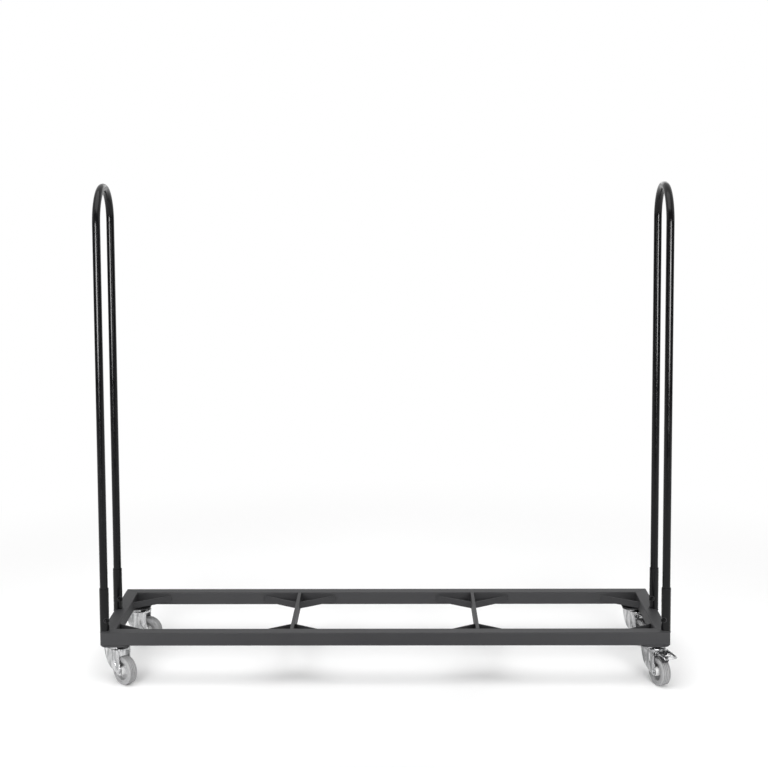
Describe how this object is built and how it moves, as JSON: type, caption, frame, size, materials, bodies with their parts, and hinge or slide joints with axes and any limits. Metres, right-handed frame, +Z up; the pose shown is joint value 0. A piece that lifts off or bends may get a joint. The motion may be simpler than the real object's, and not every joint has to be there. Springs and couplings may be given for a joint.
{
  "type": "stacking chair trolley",
  "caption": "Long low trolley of black steel tube on braked swivel castors, with a tall hoop handle at each end, for moving stacks of chairs.",
  "frame": {"origin": "on the floor, under the middle of the base frame", "axes": "+X along the trolley to the right, +Y to the rear, +Z up"},
  "size_m": [1.7236, 0.4969, 1.4999],
  "materials": {
    "black_powder_coat": "satin black powder coat",
    "gloss_black_tube": "semi-gloss black powder coat",
    "zinc_plate": "bright zinc plating",
    "grey_rubber": "grey non-marking rubber",
    "grey_plastic": "moulded grey plastic"
  },
  "bodies": {
    "frame": {"front_rail": "black_powder_coat", "rear_rail": "black_powder_coat", "left_side_rail": "black_powder_coat", "right_side_rail": "black_powder_coat", "left_cross_bar": "black_powder_coat", "right_cross_bar": "black_powder_coat", "front_corner_gussets": "black_powder_coat", "rear_corner_gussets": "black_powder_coat", "front_bar_gussets": "black_powder_coat", "rear_bar_gussets": "black_powder_coat", "lock_nuts": "gloss_black_tube", "lock_screws": "gloss_black_tube", "left_hoop": "gloss_black_tube", "right_hoop": "gloss_black_tube", "king_bolts": "zinc_plate", "swivel_balls": "zinc_plate", "castor_plate_front_left": "black_powder_coat", "castor_plate_front_right": "black_powder_coat", "castor_plate_rear_left": "black_powder_coat", "castor_plate_rear_right": "black_powder_coat", "hoop_socket_front_left": "gloss_black_tube", "hoop_socket_front_right": "gloss_black_tube", "hoop_socket_rear_left": "gloss_black_tube", "hoop_socket_rear_right": "gloss_black_tube", "swivel_head_front_left": "zinc_plate", "swivel_head_front_right": "zinc_plate", "swivel_head_rear_left": "zinc_plate", "swivel_head_rear_right": "zinc_plate"},
    "castor_front_left": {"fork_front_left": "zinc_plate", "axle_bolt_front_left": "zinc_plate", "axle_nut_front_left": "zinc_plate", "axle_sleeve_front_left": "zinc_plate"},
    "wheel_front_left": {"wheel_core_front_left": "grey_plastic", "tyre_front_left": "grey_rubber"},
    "castor_front_right": {"fork_front_right": "zinc_plate", "axle_bolt_front_right": "zinc_plate", "axle_nut_front_right": "zinc_plate", "axle_sleeve_front_right": "zinc_plate", "brake_pin_front_right": "zinc_plate", "brake_spring_front_right": "zinc_plate"},
    "wheel_front_right": {"wheel_core_front_right": "grey_plastic", "tyre_front_right": "grey_rubber"},
    "pedal_front_right": {"brake_pedal_front_right": "zinc_plate"},
    "castor_rear_left": {"fork_rear_left": "zinc_plate", "axle_bolt_rear_left": "zinc_plate", "axle_nut_rear_left": "zinc_plate", "axle_sleeve_rear_left": "zinc_plate"},
    "wheel_rear_left": {"wheel_core_rear_left": "grey_plastic", "tyre_rear_left": "grey_rubber"},
    "castor_rear_right": {"fork_rear_right": "zinc_plate", "axle_bolt_rear_right": "zinc_plate", "axle_nut_rear_right": "zinc_plate", "axle_sleeve_rear_right": "zinc_plate", "brake_pin_rear_right": "zinc_plate", "brake_spring_rear_right": "zinc_plate"},
    "wheel_rear_right": {"wheel_core_rear_right": "grey_plastic", "tyre_rear_right": "grey_rubber"},
    "pedal_rear_right": {"brake_pedal_rear_right": "zinc_plate"}
  },
  "joints": [
    {"name": "swivel_front_left", "type": "hinge", "parent": "frame", "child": "castor_front_left", "pos_m": [-0.8075, -0.1775, 0.1], "axis": [0, 0, 1], "continuous": true},
    {"name": "spin_front_left", "type": "hinge", "parent": "castor_front_left", "child": "wheel_front_left", "pos_m": [-0.78075, -0.20159, 0.042], "axis": [0.6691, 0.7431, 0], "continuous": true},
    {"name": "swivel_front_right", "type": "hinge", "parent": "frame", "child": "castor_front_right", "pos_m": [0.8075, -0.1775, 0.1], "axis": [0, 0, 1], "continuous": true},
    {"name": "spin_front_right", "type": "hinge", "parent": "castor_front_right", "child": "wheel_front_right", "pos_m": [0.82099, -0.21088, 0.042], "axis": [0.9272, 0.3746, 0], "continuous": true},
    {"name": "brake_front_right", "type": "hinge", "parent": "castor_front_right", "child": "pedal_front_right", "pos_m": [0.81857, -0.20489, 0.0934], "axis": [0.9272, 0.3746, 0], "range_deg": [0, 6.5]},
    {"name": "swivel_rear_left", "type": "hinge", "parent": "frame", "child": "castor_rear_left", "pos_m": [-0.8075, 0.1775, 0.1], "axis": [0, 0, 1], "continuous": true},
    {"name": "spin_rear_left", "type": "hinge", "parent": "castor_rear_left", "child": "wheel_rear_left", "pos_m": [-0.77229, 0.17002, 0.042], "axis": [0.2079, 0.9781, 0], "continuous": true},
    {"name": "swivel_rear_right", "type": "hinge", "parent": "frame", "child": "castor_rear_right", "pos_m": [0.8075, 0.1775, 0.1], "axis": [0, 0, 1], "continuous": true},
    {"name": "spin_rear_right", "type": "hinge", "parent": "castor_rear_right", "child": "wheel_rear_right", "pos_m": [0.82328, 0.14514, 0.042], "axis": [0.8988, 0.4384, 0], "continuous": true},
    {"name": "brake_rear_right", "type": "hinge", "parent": "castor_rear_right", "child": "pedal_rear_right", "pos_m": [0.82045, 0.15095, 0.0934], "axis": [0.8988, 0.4384, 0], "range_deg": [0, 6.5]}
  ]
}
